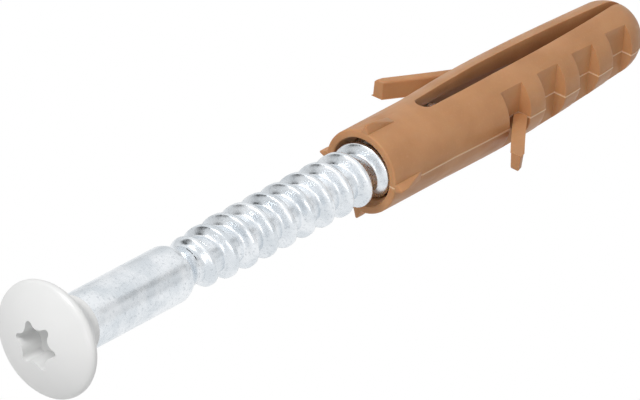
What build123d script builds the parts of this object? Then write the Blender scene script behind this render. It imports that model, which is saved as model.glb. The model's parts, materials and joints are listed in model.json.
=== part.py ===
"""Wall anchor: a two-jaw nylon plug with sprung locking wings, and the lacquered wood screw started in it.

Millimetres. The origin is the centre of the plug's mouth, on the wall's face. +Y runs along the common axis
into the wall, +Z is up through the slot between the jaws, and the wings stand out along +X and -X.
"""

from build123d import *
import os
from math import cos, hypot, pi, radians, sin, sqrt, tan

# Plug sleeve: the uncut ring at the mouth.
plug_radius = 4.0
plug_length = 38.7
bore_clearance = 0.08
mouth_flare_widening = 0.37
mouth_flare_depth = 1.4
sleeve_length = 8.4

# Grip fins round the mouth.
fin_count = 4
fin_height = 0.78
fin_base_width = 0.95
fin_full_length = 0.9
fin_length = 3.9

# Slot between the jaws, and the bow and the lean that the screw has put in them.
slot_half_width = 0.85
slot_middle_depth = 18.0
slot_middle_half_width = 1.05
slot_end_depth = 37.5
tip_gap = 0.4
jaw_bow = 0.33
jaw_taper_start = 17.0
jaw_taper = 0.0286
nose_length = 3.7
nose_wall = 1.0
jaw_sections = 8
jaw_lean = 0.8
lean_towards = 134.0
lean_overlap = 0.2

# Notches across the back of each jaw.
notch_count = 4
first_notch = 15.95
notch_length = 3.05
notch_pitch = 5.3
notch_depth = 1.42
notch_depth_step = -0.04

# Locking wings, one rooted in the first notch of each jaw, on its own side of the parting plane.
wing_splay = 36.0
wing_thickness = 1.26
wing_height = 1.74
wing_draft = 4.0
wing_lift = 3.9
wing_end_depth = 12.05
wing_root_inset = 0.35
wing_corner = 0.7
wing_corner_angle = 15.0

# Screw, at the depth to which it has been started.
screw_length = 60.0
screw_tip_depth = 17.9
head_radius = 5.5
head_dome_height = 1.75
head_rim_thickness = 0.5
head_cone_angle = 45.0
neck_flare_radius = 1.2
coat_overlap = 0.2
shank_radius = 2.68
shank_taper_start = -26.4
thread_crest_radius = 2.8
thread_core_radius = 2.05
thread_pitch = 2.6
thread_start_depth = -24.2
thread_crest_width = 0.62
thread_base_width = 1.9
thread_root_radius = 0.3
thread_crest_at_top = -5.07
run_out_radius = 2.55
run_out_length = 0.8
run_out_full_length = 5.2
point_length = 7.0
point_core_length = 6.3
point_core_radius = 0.15
point_crest_radius = 0.55

# Six-lobe drive.
drive_point_radius = 2.25
drive_valley_radius = 1.625
drive_lobe_radius = 0.38
drive_depth = 2.6
lobe_count = 6

# Jaw opening for each millimetre that the screw is driven.
jaw_degrees_per_mm = 0.31

bore_radius = thread_crest_radius + bore_clearance
wing_half = wing_thickness / 2
wing_wall = first_notch + notch_length
nose_start = plug_length - nose_length
rim_depth = screw_tip_depth - screw_length
full_crest_depth = screw_tip_depth - point_length
far = 3 * plug_length
thread_overrun = 0.1


def turned(*outline):
    """A solid turned about the common axis from (radius, depth) corners."""
    return revolve(make_face(Polyline(*outline, close=True)), Axis.Y)


def disc(depth, radius, offset):
    """A round section across the axis, its centre moved sideways by offset."""
    return Plane((offset, depth, 0), x_dir=(1, 0, 0), z_dir=(0, 1, 0)) * Circle(radius)


def opposite(solid):
    """The same piece for the other jaw, half a turn round the axis."""
    return solid.rotate(Axis.Y, 180)


def block(low, high):
    """A box between two corners."""
    size = [b - a for a, b in zip(low, high)]
    return Pos(*low) * Box(*size, align=(Align.MIN, Align.MIN, Align.MIN))


# The plug

def leaned(solid):
    """The jaws lean a little as one, up and towards -X, from the end of the sleeve."""
    towards = radians(lean_towards)
    return solid.rotate(Axis((0, sleeve_length, 0), (sin(towards), 0, -cos(towards))), jaw_lean)


def jaw_radius(depth):
    return plug_radius - jaw_taper * max(0, depth - jaw_taper_start)


def bow(depth):
    return jaw_bow * sin(pi * (depth - sleeve_length) / (nose_start - sleeve_length))


def cavity_offset(depth):
    """How far the screw will have pushed the jaw aside when its full thread reaches this depth."""
    driven = max(0, depth - full_crest_depth)
    return (depth - sleeve_length) * tan(radians(jaw_degrees_per_mm * driven))


def plug_sleeve():
    ring = turned(
        (bore_radius + mouth_flare_widening, 0),
        (plug_radius, 0),
        (plug_radius, sleeve_length),
        (bore_radius, sleeve_length),
        (bore_radius, mouth_flare_depth),
    )
    slot_end = Pos(0, sleeve_length, 0) * Cylinder(slot_half_width, far)
    return ring - slot_end


def grip_fins():
    """Wedges that stop the plug turning in its hole: full height at the mouth, then running out."""
    tip = plug_radius + fin_height
    inside = plug_radius - fin_height
    side = Polyline(
        (inside, 0),
        (tip, 0),
        (tip, fin_full_length),
        (plug_radius, fin_length),
        (inside, fin_length),
        close=True,
    )
    rib = extrude(make_face(side), fin_base_width / 2, both=True)
    base = fin_base_width * (tip - inside) / fin_height
    section = make_face(Polyline((inside, -base / 2), (tip, 0), (inside, base / 2), close=True))
    wedge = extrude(Plane.XZ * section, -fin_length)
    fin = (rib & wedge) - Pos(0, far / 2, 0) * Rot(X=90) * Cylinder(plug_radius, 2 * far)
    return Compound([fin.rotate(Axis.Y, 360 * i / fin_count) for i in range(fin_count)])


def notch(index):
    """One flat-floored notch, square across the back of the right-hand jaw."""
    start = first_notch + index * notch_pitch
    back = jaw_radius(start) + bow(start)
    floor = back - notch_depth - index * notch_depth_step
    return block((floor, start, -far), (far, start + notch_length, far))


def section_depths(end):
    """Depths of a jaw's sections, evenly spaced from just inside the sleeve's end."""
    start = sleeve_length - lean_overlap
    return [start + (end - start) * i / (jaw_sections - 1) for i in range(jaw_sections)]


def jaw_blank():
    """The right-hand jaw before it leans, and before it is hollowed."""
    back = loft([disc(y, jaw_radius(y), bow(y)) for y in section_depths(nose_start)])
    nose_radius = jaw_radius(nose_start)
    nose_side = EllipticalCenterArc((0, nose_start), nose_radius, nose_length, start_angle=0, arc_size=90)
    nose_base = Polyline((0, plug_length), (0, nose_start), (nose_radius, nose_start))
    nose = revolve(make_face([nose_side, nose_base]), Axis.Y)
    slot_wall = ThreePointArc(
        (slot_half_width, sleeve_length),
        (slot_middle_half_width, slot_middle_depth),
        (tip_gap / 2, slot_end_depth),
    )
    outside = Polyline(
        (tip_gap / 2, slot_end_depth),
        (tip_gap / 2, far),
        (far, far),
        (far, 0),
        (slot_half_width, 0),
        (slot_half_width, sleeve_length),
    )
    half = extrude(make_face([slot_wall, outside]), far, both=True)
    jaw = (back + nose) & half
    for index in range(notch_count):
        jaw -= notch(index)
    return jaw


def jaw(blank, side):
    """A leaned jaw, cut off at the sleeve and hollowed round the path of the screw; side is 1 or -1."""
    depths = section_depths(nose_start - nose_wall)
    hollow = loft([disc(y, bore_radius, -side * cavity_offset(y)) for y in depths])
    beyond_sleeve = block((-far, sleeve_length, -far), (far, far, far))
    return (leaned(blank) & beyond_sleeve) - hollow


def wing_pivot():
    """Where the wing bends: the centre of its round root, which bears on the wall of the first notch."""
    back = jaw_radius(wing_wall) + bow(wing_wall)
    across = wing_half * (1 / cos(radians(wing_splay)) - tan(radians(wing_splay)))
    return (back - wing_root_inset - across, wing_wall - wing_half)


def wing_blank():
    """The right-hand wing before its jaw leans.

    A bar that tapers below its flat face, rounded at the root where it bends. The flat face leaves the
    parting plane at the root and lifts clear of it.
    """
    pivot = Vector(*wing_pivot())
    along = Vector(sin(radians(wing_splay)), -cos(radians(wing_splay)))
    across = Vector(cos(radians(wing_splay)), sin(radians(wing_splay))) * wing_half
    tip = pivot + along * plug_length
    outline = [
        Line(pivot - across, tip - across),
        Line(tip - across, tip + across),
        Line(tip + across, pivot + across),
        ThreePointArc(pivot + across, pivot - along * wing_half, pivot - across),
    ]
    bar = extrude(make_face(outline), -wing_height, taper=wing_draft)
    bar = bar.rotate(Axis((pivot.X, pivot.Y, 0), (-across.X, -across.Y, 0)), wing_lift)
    bar &= block((-far, wing_end_depth, -far), (far, far, far))
    corner = pivot + along * ((pivot.Y - wing_end_depth + across.Y) / cos(radians(wing_splay))) + across
    clip = Pos(corner.X, corner.Y, 0) * Rot(Z=wing_corner_angle) * Box(wing_corner, far, far)
    return bar - clip


# The screw

def drive_recess():
    """The six-lobe socket: round lobes joined by tangent hollows, cut down from above the dome."""
    lobe_centre = drive_point_radius - drive_lobe_radius
    chord = sqrt(3) * lobe_centre
    valley = (
        drive_lobe_radius**2 - lobe_centre**2 - drive_valley_radius**2 + chord * drive_valley_radius
    ) / (2 * drive_valley_radius - chord - 2 * drive_lobe_radius)
    valley_centre = drive_valley_radius + valley
    half_step = pi / lobe_count
    reach = (valley_centre * cos(half_step) - lobe_centre, valley_centre * sin(half_step))
    share = drive_lobe_radius / hypot(*reach)
    join = (lobe_centre + reach[0] * share, reach[1] * share)

    def turn(point, angle):
        x, y = point
        return (x * cos(angle) - y * sin(angle), x * sin(angle) + y * cos(angle))

    edges = []
    for i in range(lobe_count):
        here = 2 * half_step * i
        start = turn((join[0], -join[1]), here)
        peak = turn((drive_point_radius, 0), here)
        end = turn(join, here)
        dip = turn((drive_valley_radius, 0), here + half_step)
        following = turn((join[0], -join[1]), here + 2 * half_step)
        edges += [ThreePointArc(start, peak, end), ThreePointArc(end, dip, following)]
    top = rim_depth - head_dome_height
    outline = Plane((0, top - 1, 0), x_dir=(1, 0, 0), z_dir=(0, 1, 0)) * make_face(edges)
    return extrude(outline, drive_depth + 1)


def neck():
    """Radius and depth where the head's cone meets the flare, half way along it, and where it ends."""
    bend = radians(head_cone_angle)
    cone_radius = shank_radius + neck_flare_radius * (1 - cos(bend))
    cone_end = rim_depth + head_rim_thickness / 2 + (head_radius - cone_radius) / tan(bend)
    flare_end = cone_end + neck_flare_radius * sin(bend)
    middle_radius = shank_radius + neck_flare_radius * (1 - cos(bend / 2))
    middle = flare_end - neck_flare_radius * sin(bend / 2)
    return (cone_radius, cone_end), (middle_radius, middle), (shank_radius, flare_end)


def coat_end():
    return neck()[2][1] + coat_overlap


def screw_head():
    """Raised countersunk head with its lacquer, down to where the coat ends on the neck."""
    rim_back = (head_radius, rim_depth + head_rim_thickness / 2)
    rim_front = (head_radius, rim_depth - head_rim_thickness / 2)
    cone, flare, end = neck()
    top = rim_depth - head_dome_height
    rise = rim_front[1] - top
    dome_radius = (head_radius**2 + rise**2) / (2 * rise)
    half_way = head_radius / 2
    dome_middle = (half_way, top + dome_radius - sqrt(dome_radius**2 - half_way**2))
    outline = [
        ThreePointArc((0, top), dome_middle, rim_front),
        Line(rim_front, rim_back),
        Line(rim_back, cone),
        ThreePointArc(cone, flare, end),
        Polyline(end, (shank_radius, coat_end()), (0, coat_end()), (0, top)),
    ]
    return revolve(make_face(outline), Axis.Y) - drive_recess()


def screw_shank():
    return turned(
        (0, coat_end()),
        (shank_radius, coat_end()),
        (shank_radius, shank_taper_start),
        (thread_core_radius, thread_start_depth),
        (0, thread_start_depth),
    )


def start_plane(path):
    """A plane through the start of the helix and the axis: x runs outwards, y along the axis."""
    start = path @ 0
    outwards = Vector(start.X, 0, start.Z).normalized()
    return Plane((0, start.Y, 0), x_dir=outwards, z_dir=outwards.cross(Vector(0, 1, 0)))


def screw_thread():
    """Core, single right-hand thread and point, from the end of the shank to the tip."""
    tip = screw_tip_depth
    core = turned(
        (0, thread_start_depth),
        (thread_core_radius, thread_start_depth),
        (thread_core_radius, tip - point_core_length),
        (point_core_radius, tip),
        (0, tip),
    )
    path = Helix(
        thread_pitch,
        tip - thread_start_depth,
        thread_core_radius,
        center=(0, thread_start_depth, 0),
        direction=(0, 1, 0),
    )
    half_base = thread_base_width / 2
    half_crest = thread_crest_width / 2
    profile = Polyline(
        (thread_root_radius, -half_base),
        (thread_core_radius, -half_base),
        (thread_crest_radius, -half_crest),
        (thread_crest_radius, half_crest),
        (thread_core_radius, half_base),
        (thread_root_radius, half_base),
        close=True,
    )
    ridge = sweep(start_plane(path) * make_face(profile), path=path, is_frenet=True)
    turns_off = (thread_crest_at_top - thread_start_depth) / thread_pitch
    ridge = ridge.rotate(Axis.Y, -360 * turns_off)
    outside = turned(
        (0, thread_start_depth),
        (thread_core_radius - thread_overrun, thread_start_depth),
        (run_out_radius, thread_start_depth + run_out_length),
        (thread_crest_radius + thread_overrun, thread_start_depth + run_out_full_length),
        (thread_crest_radius + thread_overrun, tip - point_length),
        (point_crest_radius, tip - thread_overrun),
        (0, tip - thread_overrun),
    )
    return core + (ridge & outside)


os.makedirs("parts", exist_ok=True)
pieces = {
    "plug_sleeve": plug_sleeve(),
    "grip_fins": grip_fins(),
    "jaw_right": jaw(jaw_blank(), 1),
    "jaw_left": jaw(opposite(jaw_blank()), -1),
    "wing_right": leaned(wing_blank()),
    "wing_left": leaned(opposite(wing_blank())),
    "screw_head": screw_head(),
    "screw_shank": screw_shank(),
    "screw_thread": screw_thread(),
}
for name, piece in pieces.items():
    export_step(piece, f"parts/{name}.step")
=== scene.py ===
import json
from math import atan2, cos, hypot, pi, radians, sin, sqrt, tan

import bpy
from mathutils import Matrix, Vector


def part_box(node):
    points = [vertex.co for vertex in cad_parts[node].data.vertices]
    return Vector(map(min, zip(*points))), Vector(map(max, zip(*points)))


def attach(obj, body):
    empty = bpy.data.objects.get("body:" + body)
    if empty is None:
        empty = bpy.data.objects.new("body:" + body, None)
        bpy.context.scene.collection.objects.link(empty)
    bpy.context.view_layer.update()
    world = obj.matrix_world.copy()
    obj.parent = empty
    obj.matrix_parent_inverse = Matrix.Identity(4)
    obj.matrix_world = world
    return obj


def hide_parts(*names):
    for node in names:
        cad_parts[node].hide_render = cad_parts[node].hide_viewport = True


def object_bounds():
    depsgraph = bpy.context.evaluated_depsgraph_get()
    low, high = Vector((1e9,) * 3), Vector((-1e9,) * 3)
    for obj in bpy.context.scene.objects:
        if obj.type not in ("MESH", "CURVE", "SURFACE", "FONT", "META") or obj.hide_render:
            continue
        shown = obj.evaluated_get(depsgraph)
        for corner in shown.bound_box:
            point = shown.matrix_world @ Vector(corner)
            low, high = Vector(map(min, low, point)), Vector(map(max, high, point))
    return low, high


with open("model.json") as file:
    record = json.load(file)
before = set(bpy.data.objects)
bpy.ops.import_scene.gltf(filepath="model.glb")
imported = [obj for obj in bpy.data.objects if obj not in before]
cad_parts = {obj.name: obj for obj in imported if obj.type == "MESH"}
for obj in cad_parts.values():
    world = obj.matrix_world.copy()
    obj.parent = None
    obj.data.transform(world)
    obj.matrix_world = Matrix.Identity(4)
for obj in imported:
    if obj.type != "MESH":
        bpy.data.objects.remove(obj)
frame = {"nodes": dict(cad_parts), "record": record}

cad_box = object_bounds()

# A wall anchor: a tan nylon plug with two jaws, and a zinc-plated screw with a white head started in it.
# Everything is in metres, in the frame of the model: +Y runs into the wall, +Z is up through the slot.
mm = 0.001

# Sizes read from the model
joints = {joint["name"]: joint for joint in frame["record"]["behaviour"]["joints"]}
slots = {part["node"]: part["material_slot"] for part in frame["record"]["subparts"]}
sleeve_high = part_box("plug_sleeve")[1]
plug_radius = sleeve_high[0]
seam = sleeve_high[1]
fin_tip_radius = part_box("grip_fins")[1][0]
fin_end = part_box("grip_fins")[1][1]
head_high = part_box("screw_head")[1]
head_radius = head_high[0]
coat_end = head_high[1]
shank_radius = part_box("screw_shank")[1][0]
thread_low, thread_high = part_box("screw_thread")
crest_radius = thread_high[0]
thread_start = thread_low[1]
screw_tip = thread_high[1]

# Sizes of the plug
plug_length = 38.7 * mm
bore_radius = crest_radius + 0.08 * mm
mouth_radius = bore_radius + 0.37 * mm
mouth_flare = 1.4 * mm
mouth_rounding = 0.16 * mm
slot_half_width = 0.85 * mm
slot_widest = 1.05 * mm
slot_widest_at = 18 * mm
slot_end = 37.5 * mm
half_tip_gap = 0.2 * mm
jaw_bow = 0.33 * mm
nose_start = plug_length - 3.7 * mm
nose_wall = 1 * mm
taper_start = 17 * mm
taper = 0.0286
lean_angle = radians(0.8)
lean_towards = radians(134)
lean_overlap = 0.2 * mm
first_notch = 15.95 * mm
notch_pitch = 5.3 * mm
notch_length = 3.05 * mm
notch_depth = 1.42 * mm
notch_depth_step = -0.04 * mm
notch_count = 4
edge_rounding = 0.09 * mm
flash_height = 0.07 * mm
flash_half_width = 0.045 * mm
wide = 3 * plug_radius

# Sizes of the fins
fin_count = 4
fin_full_length = 0.9 * mm
fin_half_width = 0.5 * mm
fin_root = 0.3 * mm
fin_setback = 0.03 * mm
fin_rounding = 0.06 * mm
fin_ridge_half_width = 0.09 * mm

# Sizes of the wings
wing_splay = radians(36)
wing_half = 0.63 * mm
wing_height = 1.74 * mm
wing_draft = radians(4)
wing_lift = radians(3.9)
wing_end = 12.05 * mm
wing_root_inset = 0.35 * mm
wing_corner = 0.35 * mm
wing_corner_angle = radians(15)
wing_sag = 0.04 * mm
wing_root_share = 0.125
wing_end_share = 0.8
wing_bottom_rounding = 0.24 * mm
wing_edge_rounding = 0.05 * mm
lip_reach = 0.05 * mm
lip_depth = 0.06 * mm
lip_rise = 0.01 * mm

# Sizes of the screw
rim_at = screw_tip - 60 * mm
dome_height = 1.75 * mm
rim_half = 0.25 * mm
rim_rounding = 0.22 * mm
neck_flare = 1.2 * mm
coat_overlap = 0.2 * mm
coat_edge = 0.08 * mm
coat_thickness = 0.02 * mm
recess_rounding = 0.26 * mm
core_radius = 1.87 * mm
shank_overlap = 0.4 * mm
shank_taper_start = -26.4 * mm
pitch = 2.6 * mm
crest_at_top = -5.07 * mm
crest_half_width = 0.17 * mm
ridge_half_base = 0.72 * mm
run_out_length = 5.2 * mm
run_out_first_part = 0.16
run_out_first_share = 0.66
point_length = 7 * mm
point_core_length = 6.3 * mm
point_core_radius = 0.15 * mm
point_crest_radius = 0.55 * mm
drive_point_radius = 2.25 * mm
drive_valley_radius = 1.625 * mm
drive_lobe_radius = 0.38 * mm
drive_depth = 2.6 * mm
lobe_count = 6
spread = joints["jaw_right_spread"]
jaw_turn_per_metre = spread["range_deg"][1] / joints["screw_drive"]["range_m"][1]
full_crest_end = screw_tip - point_length


# Modelling by hand

def deselect():
    bpy.ops.object.select_all(action="DESELECT")


def take(piece):
    """Makes one object the selected and active one."""
    deselect()
    piece.select_set(True)
    bpy.context.view_layer.objects.active = piece


def edit(piece, action="SELECT", kind="VERT"):
    take(piece)
    bpy.ops.object.mode_set(mode="EDIT")
    bpy.ops.mesh.select_mode(type=kind)
    bpy.ops.mesh.select_all(action=action)


def leave():
    bpy.ops.object.mode_set(mode="OBJECT")


def face_out(piece):
    edit(piece)
    bpy.ops.mesh.normals_make_consistent(inside=False)
    leave()


def named(name):
    """The object just added, named and with its place put into its mesh."""
    piece = bpy.context.object
    piece.name = name
    piece.data.name = name
    bpy.ops.object.transform_apply(location=True, rotation=True, scale=True)
    return piece


def lathe(name, rings, sides=96, closed=False):
    """A tube round Y, extruded ring by ring from (sideways shift, depth, radius) triples.

    A ring of no radius is closed to a point. A closed tube ends on its first ring. Other ends are filled.
    """
    shift, depth, radius = rings[0]
    deselect()
    bpy.ops.mesh.primitive_circle_add(
        vertices=sides,
        radius=radius,
        fill_type="NOTHING",
        location=(shift, depth, 0),
        rotation=(pi / 2, 0, 0),
    )
    piece = named(name)
    edit(piece)
    if not closed:
        bpy.ops.mesh.edge_face_add()
    for before, after in zip(rings, rings[1:]):
        bpy.ops.mesh.extrude_region_move()
        move = (after[0] - before[0], after[1] - before[1], 0)
        if any(move):
            bpy.ops.transform.translate(value=move)
        if after[2] == 0:
            bpy.ops.mesh.merge(type="CENTER")
            break
        grow = after[2] / before[2]
        if grow != 1:
            bpy.ops.transform.resize(value=(grow, grow, grow), center_override=(after[0], after[1], 0))
    if closed:
        bpy.ops.mesh.select_all(action="SELECT")
        bpy.ops.mesh.remove_doubles(threshold=1e-7)
    leave()
    face_out(piece)
    return piece


def plate(name, outline, low, high):
    """A flat outline in X and Y, thickened from low to high along Z."""
    deselect()
    bpy.ops.mesh.primitive_circle_add(vertices=len(outline), radius=1, fill_type="NGON")
    piece = named(name)
    for corner, place in zip(piece.data.vertices, outline):
        corner.co = (place[0], place[1], low)
    edit(piece)
    bpy.ops.mesh.extrude_region_move(TRANSFORM_OT_translate={"value": (0, 0, high - low)})
    leave()
    face_out(piece)
    return piece


def brick(low, high):
    """A box between two corners, used to cut with."""
    deselect()
    middle = [(a + b) / 2 for a, b in zip(low, high)]
    bpy.ops.mesh.primitive_cube_add(size=1, location=middle, scale=[b - a for a, b in zip(low, high)])
    return named("cutter")


def finish_with(piece, kind, **settings):
    """Adds a modifier, sets it and applies it."""
    take(piece)
    modifier = piece.modifiers.new(kind.lower(), kind)
    for key, value in settings.items():
        setattr(modifier, key, value)
    bpy.ops.object.modifier_apply(modifier=modifier.name)


def carve(piece, tool, operation="DIFFERENCE"):
    """Cuts a piece with a tool, or joins the tool to it, and throws the tool away."""
    finish_with(piece, "BOOLEAN", object=tool, operation=operation, solver="EXACT")
    bpy.data.objects.remove(tool)


def smooth(piece, angle=35):
    take(piece)
    bpy.ops.object.shade_smooth_by_angle(angle=radians(angle))


def copied(piece, name, turn=0):
    """A copy with its own mesh, turned about the axis."""
    take(piece)
    bpy.ops.object.duplicate()
    copy = bpy.context.object
    copy.name = name
    copy.data.name = name
    copy.data.transform(Matrix.Rotation(turn, 4, "Y"))
    return copy


def select_faces(piece, wanted):
    """Opens a piece for editing with only the faces selected that the test picks."""
    edit(piece, "DESELECT", "FACE")
    leave()
    for face in piece.data.polygons:
        face.select = wanted([piece.data.vertices[i].co for i in face.vertices])
    bpy.ops.object.mode_set(mode="EDIT")


def round_edges(piece, width=edge_rounding, segments=2, angle=35):
    finish_with(
        piece,
        "BEVEL",
        width=width,
        segments=segments,
        limit_method="ANGLE",
        angle_limit=radians(angle),
        miter_outer="MITER_ARC",
        use_clamp_overlap=True,
    )


def spaced(low, high, count):
    return [low + (high - low) * i / (count - 1) for i in range(count)]


def belongs(piece, node, body, *replaced):
    """Says which body a finished piece rides on, whose finish it takes and which nodes it stands for."""
    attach(piece, body)
    if replaced:
        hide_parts(*replaced)
    made[piece] = slots[node]


made = {}


# The plug

def bow(depth):
    """How far the started screw has bowed a jaw outwards at a depth."""
    return jaw_bow * sin(pi * min(1, (depth - seam) / (nose_start - seam)))


def jaw_radius(depth):
    return plug_radius - taper * max(0, depth - taper_start)


def jaw_back(depth):
    return jaw_radius(depth) + bow(depth)


def slot_wall(depth):
    """Distance of the slot's wall from the middle plane: a gentle arch that closes near the nose."""
    along = min(1, max(0, (depth - seam) / (slot_end - seam)))
    widest = (slot_widest_at - seam) / (slot_end - seam)
    straight = slot_half_width + (half_tip_gap - slot_half_width) * along
    at_widest = slot_half_width + (half_tip_gap - slot_half_width) * widest
    arch = (slot_widest - at_widest) / (widest * (1 - widest))
    return straight + arch * along * (1 - along)


def hollow_shift(depth):
    """The jaw's hollow follows the path of the screw that will push it aside."""
    turn = radians(jaw_turn_per_metre * max(0, depth - full_crest_end))
    return (depth - seam) * tan(turn)


def lean(piece):
    """The jaws lean a little as one, up and towards -X, from the end of the sleeve."""
    hinge = Vector((0, seam, 0))
    line = Vector((sin(lean_towards), 0, -cos(lean_towards)))
    turn = Matrix.Rotation(lean_angle, 4, line)
    piece.data.transform(Matrix.Translation(hinge) @ turn @ Matrix.Translation(-hinge))


def nose(count):
    """Depth and radius down the round nose, between its start and its tip."""
    reach = plug_length - nose_start
    last = jaw_radius(nose_start)
    return [(nose_start + reach * sin(a), last * cos(a)) for a in spaced(0, pi / 2, count)[1:-1]]


def notch_floor(index):
    return jaw_back(first_notch + index * notch_pitch) - notch_depth - index * notch_depth_step


def jaw_blank():
    """The right-hand jaw before it leans, and before it is hollowed."""
    start = seam - lean_overlap
    body = [(bow(y), y, jaw_radius(y)) for y in spaced(start, nose_start, 40)]
    tip = [(0, y, r) for y, r in nose(14)]
    jaw = lathe("jaw_right_shell", body + tip + [(0, plug_length, 0)], sides=128)
    beyond = plug_length + plug_radius
    wall = [(slot_wall(y), y) for y in spaced(seam, slot_end, 30)]
    before = (slot_half_width, seam - plug_radius)
    outline = [(-wide, before[1]), before] + wall + [(half_tip_gap, beyond), (-wide, beyond)]
    carve(jaw, plate("slot", outline, -wide, wide))
    for i in range(notch_count):
        low = first_notch + i * notch_pitch
        carve(jaw, brick((notch_floor(i), low, -wide), (wide, low + notch_length, wide)))
    return jaw


def flash_of(piece, low, high):
    """The thin line of flash that the mould leaves round a piece's parting plane, between two depths."""
    flash = copied(piece, "flash")
    slab = brick((-wide, low - flash_height, -flash_half_width), (wide, high, flash_half_width))
    carve(flash, slab, "INTERSECT")
    edit(flash)
    bpy.ops.mesh.remove_doubles(threshold=1e-6)
    bpy.ops.transform.shrink_fatten(value=flash_height, use_even_offset=False)
    leave()
    carve(flash, brick((-wide, low, -wide), (wide, high, wide)), "INTERSECT")
    return flash


def finished_jaw(jaw, side):
    """Leans a jaw, trims it at the sleeve, hollows it, rounds its edges and adds its flash."""
    lean(jaw)
    carve(jaw, brick((-wide, seam - wide, -wide), (wide, seam, wide)))
    depths = [seam - mm] + spaced(seam, nose_start - nose_wall, 30)
    carve(jaw, lathe("hollow", [(-side * hollow_shift(y), y, bore_radius) for y in depths], sides=128))
    select_faces(jaw, lambda corners: all(abs(corner.y - seam) < 1e-7 for corner in corners))
    bpy.ops.mesh.delete(type="ONLY_FACE")
    leave()
    round_edges(jaw)
    edit(jaw, "DESELECT")
    bpy.ops.mesh.select_non_manifold()
    bpy.ops.mesh.edge_face_add()
    leave()
    face_out(jaw)
    carve(jaw, flash_of(jaw, seam, cad_box[1][1]), "UNION")
    smooth(jaw)
    return jaw


def make_sleeve():
    arc = [(1 - cos(a), 1 - sin(a)) for a in spaced(0, pi / 2, 5)]
    outside = [(0, mouth_rounding * y, plug_radius - mouth_rounding * x) for x, y in arc]
    inside = [(0, mouth_rounding * y, mouth_radius + mouth_rounding * x) for x, y in arc[::-1]]
    rings = outside + inside + [
        (0, mouth_flare, bore_radius),
        (0, seam, bore_radius),
        (0, seam, plug_radius),
    ]
    rings += [(0, y, plug_radius) for y in spaced(seam, mouth_rounding, 10)[1:]]
    sleeve = lathe("plug_mouth", rings, sides=128, closed=True)
    take(sleeve)
    bpy.ops.mesh.primitive_cylinder_add(
        vertices=64, radius=slot_half_width, depth=wide, location=(0, seam, 0)
    )
    carve(sleeve, named("slot_end"))
    carve(sleeve, flash_of(sleeve, fin_end - flash_height, seam), "UNION")
    smooth(sleeve)
    return sleeve


def make_fin():
    """A grip fin: a blunt ridge beside the mouth that slopes down into the sleeve."""
    inside = plug_radius - fin_root
    side = [
        (inside, fin_setback),
        (fin_tip_radius, fin_setback),
        (fin_tip_radius, fin_full_length),
        (plug_radius - flash_height, fin_end),
        (inside, fin_end),
    ]
    fin = plate("grip_fin", side, -fin_half_width, fin_half_width)
    rise = fin_tip_radius - plug_radius
    for corner in fin.data.vertices:
        height = max(0, corner.co.x - plug_radius) / rise
        corner.co.z *= 1 - height * (1 - fin_ridge_half_width / fin_half_width)
    round_edges(fin, width=fin_rounding)
    smooth(fin)
    return fin


def wing_root():
    """Where the wing bends: the centre of its round root, which bears on the wall of the first notch."""
    wall = first_notch + notch_length
    across = wing_half * (1 / cos(wing_splay) - tan(wing_splay))
    return Vector((jaw_back(wall) - wing_root_inset - across, wall - wing_half, 0))


def wing_outline(half, short):
    """The wing's flat face in (along, across) corners: a round root, and one corner of the end clipped."""
    root = wing_root()
    reach = (root.y - wing_end - short) / cos(wing_splay)
    inner_end = reach - half * tan(wing_splay)
    outer_end = reach + half * tan(wing_splay)
    on_end = wing_corner / cos(wing_corner_angle)
    on_side = wing_corner / sin(wing_splay - wing_corner_angle)
    corners = [(-half * sin(a), half * cos(a)) for a in spaced(0, pi, 12)]
    corners += [(s, -half) for s in spaced(0, inner_end, 14)[1:]]
    corners.append((outer_end - on_end * sin(wing_splay), half - on_end * cos(wing_splay)))
    corners += [(s, half) for s in spaced(outer_end - on_side, 0, 13)[:-1]]
    return corners


def shape_wing(wing):
    """Curves a wing drawn along X, splays it from its root and lifts it off the parting plane."""
    root = wing_root()
    length = (root.y - wing_end) / cos(wing_splay)
    along = Vector((sin(wing_splay), -cos(wing_splay), 0))
    across = Vector((cos(wing_splay), sin(wing_splay), 0))
    for corner in wing.data.vertices:
        share = min(1, max(0, corner.co.x / length))
        sag = 4 * wing_sag * share * (1 - share)
        place = root + along * corner.co.x + across * (corner.co.y - sag)
        corner.co = (place.x, place.y, corner.co.z)
    lift = Matrix.Rotation(wing_lift, 4, -across)
    wing.data.transform(Matrix.Translation(root) @ lift @ Matrix.Translation(-root))
    face_out(wing)


def make_wing():
    wing = plate("wing_right_blade", wing_outline(wing_half - lip_reach, lip_reach), -wing_height, 0)
    draft = wing_height * tan(wing_draft)
    length = (wing_root().y - wing_end) / cos(wing_splay)
    for corner in wing.data.vertices:
        if corner.co.z < -wing_height / 2:
            if corner.co.x < wing_root_share * length:
                corner.co.x += draft
            elif corner.co.x > wing_end_share * length:
                corner.co.x -= draft
            corner.co.y -= draft * max(-1, min(1, corner.co.y / wing_half))
    select_faces(wing, lambda corners: all(corner.z < -wing_height + 1e-7 for corner in corners))
    bpy.ops.mesh.bevel(offset=wing_bottom_rounding, segments=4, affect="EDGES")
    leave()
    round_edges(wing, width=wing_edge_rounding, angle=50)
    lip = plate("lip", wing_outline(wing_half, 0), -lip_depth, lip_rise)
    carve(wing, lip, "UNION")
    shape_wing(wing)
    return wing


right_blank = jaw_blank()
left_blank = copied(right_blank, "jaw_left_shell", pi)
jaw_right = finished_jaw(right_blank, 1)
jaw_left = finished_jaw(left_blank, -1)
belongs(jaw_right, "jaw_right", "jaw_right", "jaw_right")
belongs(jaw_left, "jaw_left", "jaw_left", "jaw_left")
sleeve = make_sleeve()
belongs(sleeve, "plug_sleeve", "plug", "plug_sleeve")

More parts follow.
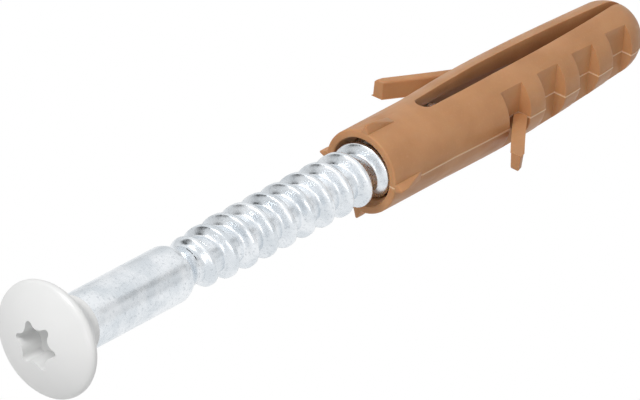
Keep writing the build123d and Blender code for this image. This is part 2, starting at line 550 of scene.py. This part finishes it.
first_fin = make_fin()
fins = [first_fin]
for i in range(1, fin_count):
    fins.append(copied(first_fin, f"grip_fin_{i + 1}", 2 * pi * i / fin_count))
first_fin.name = "grip_fin_1"
for fin in fins:
    belongs(fin, "grip_fins", "plug")
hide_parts("grip_fins")

wing_right = make_wing()
wing_left = copied(wing_right, "wing_left_blade", pi)
for wing, body in ((wing_right, "wing_right"), (wing_left, "wing_left")):
    lean(wing)
    smooth(wing)
    belongs(wing, body, body, body)


# The screw

def drive_outline():
    """The six-lobe socket's outline: round lobes joined by hollows that meet them smoothly."""
    lobe_at = drive_point_radius - drive_lobe_radius
    chord = sqrt(3) * lobe_at
    top = drive_lobe_radius**2 - lobe_at**2 - drive_valley_radius**2 + chord * drive_valley_radius
    valley = top / (2 * drive_valley_radius - chord - 2 * drive_lobe_radius)
    valley_at = drive_valley_radius + valley
    half_step = pi / lobe_count
    reach = (valley_at * cos(half_step) - lobe_at, valley_at * sin(half_step))
    lobe_end = atan2(reach[1], reach[0])
    corners = []
    for i in range(lobe_count):
        here = 2 * half_step * i
        for a in spaced(-lobe_end, lobe_end, 9):
            corners.append((
                lobe_at * cos(here) + drive_lobe_radius * cos(here + a),
                lobe_at * sin(here) + drive_lobe_radius * sin(here + a),
            ))
        centre = (valley_at * cos(here + half_step), valley_at * sin(here + half_step))
        join = Vector(corners[-1]) - Vector(centre)
        first = atan2(join.y, join.x)
        dip = here + half_step + pi
        swing = (dip - first + pi) % (2 * pi) - pi
        for share in spaced(0, 2, 9)[1:-1]:
            angle = first + swing * share
            corners.append((centre[0] + valley * cos(angle), centre[1] + valley * sin(angle)))
    return corners


def make_head():
    """The raised countersunk head under its lacquer, from the end of the coat to the top of the dome."""
    bend = pi / 4
    coat_start = coat_end - coat_overlap
    flare = [
        (coat_start - neck_flare * sin(a), shank_radius + neck_flare * (1 - cos(a)))
        for a in spaced(0, bend, 7)
    ]
    rise = dome_height - rim_half
    dome_radius = (head_radius**2 + rise**2) / (2 * rise)
    top = rim_at - dome_height
    edge = head_radius - rim_rounding
    dome = [(top + dome_radius - sqrt(dome_radius**2 - r**2), r) for r in spaced(edge, 0, 16)[:-1]]
    turn = [
        (rim_at + rim_half - rim_rounding * 0.4, head_radius - rim_rounding * 0.06),
        (rim_at, head_radius),
        (rim_at - rim_half * 0.7, head_radius - rim_rounding * 0.2),
    ]
    back = [(rim_at + rim_half + rim_rounding * 0.5, head_radius - rim_rounding * 0.55)]
    profile = [(coat_end, shank_radius), (coat_end - coat_edge, shank_radius + coat_thickness)]
    profile += flare + back + turn + dome + [(top, 0)]
    head = lathe("head_lacquer", [(0, y, r) for y, r in profile], sides=160)
    flat = plate("recess", drive_outline(), -drive_depth, mm)
    flat.data.transform(Matrix.Translation((0, top, 0)) @ Matrix.Rotation(pi / 2, 4, "X"))
    face_out(flat)
    carve(head, flat)
    round_edges(head, width=recess_rounding, segments=4, angle=40)
    smooth(head, 40)
    return head


def make_shank():
    """The plain shank, which necks down in a soft curve to the core of the thread."""
    rings = [(0, coat_end, shank_radius - 0.01 * mm)]
    rings += [(0, y, shank_radius) for y in spaced(coat_end + 0.05 * mm, shank_taper_start, 12)]
    fall = shank_radius - core_radius
    for share in spaced(0, 1, 12)[1:]:
        y = shank_taper_start + share * (thread_start - shank_taper_start)
        rings.append((0, y, shank_radius - fall * sin(share * pi / 2) ** 2))
    rings.append((0, thread_start + shank_overlap, core_radius - 0.05 * mm))
    shank = lathe("shank_steel", rings, sides=96)
    smooth(shank, 50)
    return shank


def ridge_share(offset):
    """Height of the thread's ridge, as a share of its full height, at a distance from its crest."""
    share = min(1, max(0, (ridge_half_base - abs(offset)) / (ridge_half_base - crest_half_width)))
    return 0.4 * share + 0.6 * share * share * (3 - 2 * share)


def core_at(depth):
    point = min(1, max(0, (depth - (screw_tip - point_core_length)) / point_core_length))
    return core_radius + (point_core_radius - core_radius) * point


def crest_limit(depth):
    """The most that the ridge stands out at a depth, from its run-out to the point."""
    start = min(1, max(0, (depth - thread_start) / run_out_length))
    if start < run_out_first_part:
        share = run_out_first_share * start / run_out_first_part
    else:
        later = (start - run_out_first_part) / (1 - run_out_first_part)
        share = run_out_first_share + (1 - run_out_first_share) * later
    begun = core_radius + (crest_radius - core_radius) * share
    point = min(1, max(0, (depth - full_crest_end) / point_length))
    return min(begun, crest_radius + (point_crest_radius - crest_radius) * point)


def make_thread():
    """One pitch of the ridge's profile, swept into a right-hand thread and cut off at both ends."""
    points = 30
    steps = 72
    merging = 2e-6
    first_crest = crest_at_top - pitch * int((crest_at_top - thread_start) / pitch + 2)
    turns = int((screw_tip - first_crest) / pitch + 2)
    deselect()
    bpy.ops.mesh.primitive_circle_add(vertices=points + 1, radius=1, fill_type="NOTHING")
    thread = named("thread_steel")
    for corner, offset in zip(thread.data.vertices, spaced(-pitch / 2, pitch / 2, points + 1)):
        radius = core_radius + (crest_radius - core_radius) * ridge_share(offset)
        corner.co = (0, first_crest + offset, radius)
    edit(thread, "DESELECT", "EDGE")
    leave()
    for edge in thread.data.edges:
        edge.select = abs(edge.vertices[0] - edge.vertices[1]) > 1
    bpy.ops.object.mode_set(mode="EDIT")
    bpy.ops.mesh.delete(type="EDGE")
    leave()
    finish_with(
        thread,
        "SCREW",
        axis="Y",
        screw_offset=pitch,
        angle=2 * pi,
        steps=steps,
        render_steps=steps,
        iterations=turns,
        use_merge_vertices=False,
        use_smooth_shade=True,
    )
    edit(thread)
    bpy.ops.mesh.remove_doubles(threshold=merging)
    leave()
    for corner in thread.data.vertices:
        radius = hypot(corner.co.x, corner.co.z)
        share = (radius - core_radius) / (crest_radius - core_radius)
        core = core_at(corner.co.y)
        wanted = core + max(0, min(1, share)) * max(0, crest_limit(corner.co.y) - core)
        corner.co.x *= wanted / radius
        corner.co.z *= wanted / radius
    for depth, clear_inner in ((thread_start, True), (screw_tip, False)):
        edit(thread)
        bpy.ops.mesh.bisect(
            plane_co=(0, depth, 0),
            plane_no=(0, 1, 0),
            use_fill=True,
            clear_inner=clear_inner,
            clear_outer=not clear_inner,
        )
        leave()
    face_out(thread)
    smooth(thread, 50)
    return thread


belongs(make_head(), "screw_head", "screw", "screw_head")
belongs(make_shank(), "screw_shank", "screw", "screw_shank")
belongs(make_thread(), "screw_thread", "screw", "screw_thread")


# Finishes

class Shade:
    """One number that varies over a surface. Sums on it add the Math nodes that work them out."""

    def __init__(self, finish, socket):
        self.finish = finish
        self.socket = socket

    def worked(self, operation, first, second):
        sum_node = self.finish.node("ShaderNodeMath", {"operation": operation}, {0: first, 1: second})
        return Shade(self.finish, sum_node.outputs["Value"])

    def __add__(self, other):
        return self.worked("ADD", self, other)

    def __radd__(self, other):
        return self.worked("ADD", other, self)

    def __sub__(self, other):
        return self.worked("SUBTRACT", self, other)

    def __rsub__(self, other):
        return self.worked("SUBTRACT", other, self)

    def __mul__(self, other):
        return self.worked("MULTIPLY", self, other)

    def __rmul__(self, other):
        return self.worked("MULTIPLY", other, self)


class Finish:
    """The nodes of a material or the world. A pattern lies on the object's own coordinates."""

    def __init__(self, tree, constants=None):
        self.nodes = tree.nodes
        self.links = tree.links
        self.shader = self.nodes.get("Principled BSDF")
        self.feed(self.shader, constants or {})
        self.place = None

    def feed(self, node, inputs):
        for socket, value in inputs.items():
            if isinstance(value, Shade):
                value = value.socket
            if isinstance(value, bpy.types.NodeSocket):
                self.links.new(value, node.inputs[socket])
            else:
                node.inputs[socket].default_value = value

    def node(self, kind, settings=None, inputs=None):
        """Adds one node: its settings first, and then its sockets."""
        node = self.nodes.new(kind)
        for key, value in (settings or {}).items():
            setattr(node, key, value)
        self.feed(node, inputs or {})
        return node

    def noise(self, scale, detail=2, stretch=(1, 1, 1)):
        """Noise with so many grains to the metre, stretched along an axis where that is below one."""
        if self.place is None:
            self.place = self.node("ShaderNodeTexCoord").outputs["Object"]
        mapped = self.node("ShaderNodeMapping", None, {"Vector": self.place, "Scale": stretch})
        inputs = {"Vector": mapped.outputs["Vector"], "Scale": scale, "Detail": detail}
        return Shade(self, self.node("ShaderNodeTexNoise", None, inputs).outputs["Fac"])

    def between(self, value, low, high, start=0.0, end=1.0):
        """Runs from start to end as a value runs from low to high, and holds beyond them."""
        inputs = {"Value": value, "From Min": low, "From Max": high, "To Min": start, "To Max": end}
        node = self.node("ShaderNodeMapRange", {"clamp": True}, inputs)
        return Shade(self, node.outputs["Result"])

    def mixed(self, share, first, second):
        """A colour between two others."""
        inputs = {0: share, 6: (*first, 1) if isinstance(first, tuple) else first, 7: (*second, 1)}
        return self.node("ShaderNodeMix", {"data_type": "RGBA"}, inputs).outputs[2]

    def bump(self, height, strength, distance):
        inputs = {"Height": height, "Strength": strength, "Distance": distance}
        return self.node("ShaderNodeBump", None, inputs).outputs["Normal"]


def new_material(name):
    material = bpy.data.materials.new(name)
    material.use_nodes = True
    return material


def make_nylon(name, paints_flash_highlight):
    """Moulded tan nylon: mottled, finely grained, with soft light inside, and a pale painted highlight
    along the flash if asked.
    """
    material = new_material(name)
    finish = Finish(material.node_tree, {
        "Subsurface Weight": 0.25,
        "Subsurface Radius": (1.0, 0.35, 0.12),
        "Subsurface Scale": 0.0006,
        "Specular IOR Level": 0.4,
    })
    cloud = finish.noise(260, 3)
    grain = finish.noise(5200, 2)
    drawn = finish.noise(1500, 2, (1, 0.25, 1))
    colour = finish.mixed(finish.between(cloud, 0.35, 0.65), (0.47, 0.224, 0.094), (0.545, 0.272, 0.122))
    colour = finish.mixed(finish.between(grain, 0.58, 0.8, 0.0, 0.35), colour, (0.6, 0.34, 0.18))
    # A pale colour painted in a thin band round the parting plane, where the flash runs: a painted
    # highlight on its ridge.
    if paints_flash_highlight:
        height = finish.node("ShaderNodeSeparateXYZ", None, {0: finish.place}).outputs["Z"]
        away = finish.node("ShaderNodeMath", {"operation": "ABSOLUTE"}, {0: height}).outputs[0]
        line = finish.between(away, flash_half_width, 2.4 * flash_half_width, 0.75, 0.0)
        colour = finish.mixed(line, colour, (0.8, 0.58, 0.4))
    finish.feed(finish.shader, {
        "Base Color": colour,
        "Roughness": finish.between(drawn, 0.3, 0.7, 0.4, 0.56),
        "Normal": finish.bump(grain * 0.6 + drawn * 0.4, 0.35, 0.00005),
    })
    return material


def make_zinc():
    """Bright zinc plating: bluish, patchy and finely grained."""
    material = new_material("zinc_plating")
    finish = Finish(material.node_tree, {"Metallic": 1.0})
    patch = finish.noise(420, 4)
    grain = finish.noise(3800, 3)
    drawn = finish.noise(2600, 2, (1, 0.12, 1))
    colour = finish.mixed(finish.between(patch, 0.4, 0.62), (0.7, 0.745, 0.785), (0.87, 0.9, 0.93))
    colour = finish.mixed(finish.between(grain, 0.56, 0.72, 0.0, 0.5), colour, (0.42, 0.46, 0.5))
    finish.feed(finish.shader, {
        "Base Color": colour,
        "Roughness": finish.between(patch * 0.5 + grain * 0.5, 0.35, 0.65, 0.17, 0.38),
        "Normal": finish.bump(grain * 0.7 + drawn * 0.3, 0.25, 0.00005),
    })
    return material


def make_lacquer():
    """White stoving lacquer: smooth and faintly dimpled."""
    material = new_material("white_lacquer")
    finish = Finish(material.node_tree, {"Coat Weight": 0.25, "Coat Roughness": 0.2})
    dimple = finish.noise(900, 2)
    tone = finish.noise(180, 2)
    colour = finish.mixed(finish.between(tone, 0.3, 0.7), (0.76, 0.765, 0.76), (0.8, 0.8, 0.795))
    finish.feed(finish.shader, {
        "Base Color": colour,
        "Roughness": finish.between(dimple, 0.3, 0.7, 0.34, 0.46),
        "Normal": finish.bump(dimple, 0.12, 0.00004),
    })
    return material


finishes = {"nylon": make_nylon("tan_nylon", False), "zinc": make_zinc(), "lacquer": make_lacquer()}
for piece, slot in made.items():
    piece.data.materials.clear()
    piece.data.materials.append(finishes[slot])
# The jaws and the sleeve take the nylon with a painted highlight along their flash.
nylon_with_flash_highlight = make_nylon("tan_nylon_flash_highlight", True)
for piece in (jaw_right, jaw_left, sleeve):
    piece.data.materials[0] = nylon_with_flash_highlight
for name, node in frame["nodes"].items():
    node.data.materials.clear()
    node.data.materials.append(finishes[slots[name]])


# Stage, light and camera

floor_size = 3
floor_height = -60 * mm
room_light = 0.57
# Where metal finds something dark to reflect: a direction, inner and outer angles, and how dark it is.
dark_patches = (
    ((-0.59, -0.61, 0.53), 12, 21, 0.95),
    ((-0.2, 0.89, 0.41), 4, 9, 0.9),
    ((0.52, 0.69, 0.5), 6, 12, 0.5),
)

def floor_white(seen, felt):
    """As bright as seen to the eye and in gloss, and otherwise a matt grey that catches the light."""
    material = new_material("floor_white")
    finish = Finish(material.node_tree)
    path = finish.node("ShaderNodeLightPath")
    share = Shade(finish, path.outputs["Is Camera Ray"])
    share = share + Shade(finish, path.outputs["Is Glossy Ray"])
    share = share + Shade(finish, path.outputs["Is Transmission Ray"])
    glow = finish.node("ShaderNodeEmission", None, {"Strength": seen})
    matt = finish.node("ShaderNodeBsdfDiffuse", None, {"Color": (felt, felt, felt, 1)})
    mix = finish.node("ShaderNodeMixShader", None, {
        0: share, 1: matt.outputs[0], 2: glow.outputs[0]
    })
    finish.links.new(mix.outputs[0], finish.nodes["Material Output"].inputs["Surface"])
    return material


def make_floor():
    deselect()
    bpy.ops.mesh.primitive_plane_add(size=floor_size, location=(0, 0, floor_height))
    floor = named("floor")
    floor.data.materials.append(floor_white(1.0, 0.55))


def make_camera():
    """A long lens from ahead of the screw's head, above it and to its right, rolled a little."""
    distance = 799.55 * mm
    back = Vector((0.5197, -0.6878, 0.5068)).normalized()
    across = Vector((0.7635, 0.6401, 0.0857))
    across = (across - back * across.dot(back)).normalized()
    up = back.cross(across)
    place = back * distance - across * 3.596 * mm - up * 2.479 * mm
    camera = bpy.data.cameras.new("camera")
    camera.lens = 506.25
    camera.sensor_width = 36
    camera.clip_start = 0.01
    camera.clip_end = 10
    eye = bpy.data.objects.new("camera", camera)
    eye.matrix_world = Matrix((
        (across.x, up.x, back.x, place.x),
        (across.y, up.y, back.y, place.y),
        (across.z, up.z, back.z, place.z),
        (0, 0, 0, 1),
    ))
    bpy.context.scene.collection.objects.link(eye)
    bpy.context.scene.camera = eye


def softbox(name, place, size, power):
    lamp = bpy.data.lights.new(name, "AREA")
    lamp.shape = "DISK"
    lamp.size = size
    lamp.energy = power
    box = bpy.data.objects.new(name, lamp)
    box.location = place
    box.rotation_euler = (-Vector(place)).to_track_quat("-Z", "Y").to_euler()
    bpy.context.scene.collection.objects.link(box)


def make_world():
    """White to the eye, a plain grey as light, and a sky that gives metal something to reflect."""
    world = bpy.data.worlds.new("studio")
    bpy.context.scene.world = world
    world.use_nodes = True
    finish = Finish(world.node_tree)
    path = finish.node("ShaderNodeLightPath")
    direction = finish.node("ShaderNodeTexCoord").outputs["Generated"]
    height = finish.node("ShaderNodeSeparateXYZ", None, {0: direction}).outputs["Z"]
    sky = finish.between(height, -0.2, 0.6, 0.7, 0.98)
    for way, inner, outer, darkness in dark_patches:
        settings = {"operation": "DOT_PRODUCT"}
        beside = finish.node("ShaderNodeVectorMath", settings, {0: direction, 1: way}).outputs["Value"]
        patch = finish.between(beside, cos(radians(outer)), cos(radians(inner)), 0.0, darkness)
        sky = sky * (1 - patch)
    gloss = Shade(finish, path.outputs["Is Glossy Ray"])
    light = gloss * sky + (1 - gloss) * room_light
    eye = Shade(finish, path.outputs["Is Camera Ray"])
    clear = Shade(finish, path.outputs["Is Transmission Ray"])
    white = eye + clear
    strength = white + (1 - white) * light
    finish.feed(finish.nodes["Background"], {"Color": (1, 1, 1, 1), "Strength": strength})


make_floor()
make_world()
make_camera()
softbox("key", (0.0, -0.36, 0.5), 0.24, 1.9)
softbox("fill", (0.45, -0.55, -0.02), 0.4, 0.9)
bpy.context.scene.view_settings.view_transform = "Standard"
